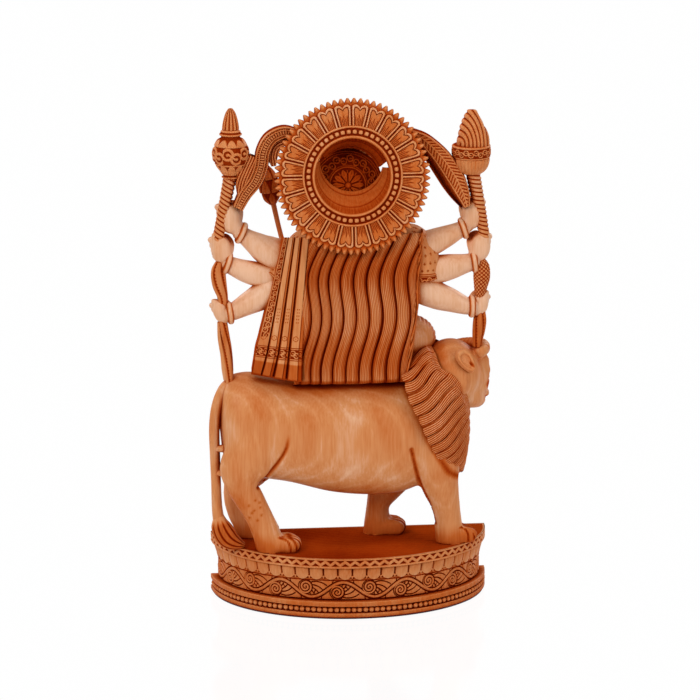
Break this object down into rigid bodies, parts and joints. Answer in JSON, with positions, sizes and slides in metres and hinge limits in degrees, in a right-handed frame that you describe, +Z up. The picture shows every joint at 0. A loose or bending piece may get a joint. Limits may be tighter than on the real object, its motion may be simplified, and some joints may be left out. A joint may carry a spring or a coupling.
{
  "type": "carved deity figurine",
  "caption": "Carved wooden goddess seated on a walking lion with a petalled halo behind the head, on a D-shaped stepped base with carved bands",
  "frame": {"origin": "centre of the flat underside of the base, midway between its straight front and the crown of its curved back", "axes": "+Z up along the tallest extent; the figure faces -Y over the straight front of the base; the lion walks towards -X, the figure's right"},
  "size_m": [0.1382, 0.0581, 0.2512],
  "materials": {
    "pale_wood": "pale close-grained carved wood, rubbed to a soft sheen, with brown stain left in its cuts",
    "stained_wood": "the same wood where fine carving holds more of the red-brown stain",
    "felt": "thin maroon felt glued under the base"
  },
  "bodies": {
    "root": {"felt_pad": "felt", "base_plinth": "pale_wood", "plinth_beads": "pale_wood", "base_frieze": "stained_wood", "base_petal_band": "pale_wood", "base_top_slab": "pale_wood", "lion_body": "pale_wood", "lion_right_hind_leg": "pale_wood", "lion_left_hind_leg": "pale_wood", "lion_right_fore_leg": "pale_wood", "lion_left_fore_leg": "pale_wood", "lion_mane": "stained_wood", "lion_head": "pale_wood", "lion_ears": "pale_wood", "lion_tail": "pale_wood", "lion_tail_tuft": "stained_wood", "goddess_torso": "pale_wood", "goddess_right_leg": "stained_wood", "goddess_left_leg": "stained_wood", "goddess_feet": "pale_wood", "goddess_head": "pale_wood", "goddess_hair": "stained_wood", "sari_pleats": "stained_wood", "left_sleeve": "stained_wood", "right_sleeve": "stained_wood", "necklaces": "pale_wood", "crown": "pale_wood", "crown_finial": "pale_wood", "ear_ornaments": "pale_wood", "halo_disc": "pale_wood", "halo_petal_ring": "pale_wood", "halo_rim_teeth": "pale_wood", "halo_bead_ring": "pale_wood", "halo_socket": "stained_wood", "left_upper_arm_pair": "pale_wood", "left_lower_arm": "pale_wood", "right_upper_arm_pair": "pale_wood", "right_lower_arm": "pale_wood", "left_front_arm": "pale_wood", "right_front_arm": "pale_wood", "left_hands": "pale_wood", "right_hands": "pale_wood", "bracelets": "pale_wood", "mace_head": "pale_wood", "mace_shaft": "stained_wood", "torch_flame": "pale_wood", "torch_cup": "stained_wood", "torch_shaft": "stained_wood", "curled_bow": "stained_wood", "curved_sword": "stained_wood", "serpent_head": "stained_wood", "serpent_body": "stained_wood", "beaded_pod": "stained_wood", "pod_tail": "stained_wood", "lotus_bud": "stained_wood", "lotus_stem": "stained_wood"}
  },
  "joints": []
}
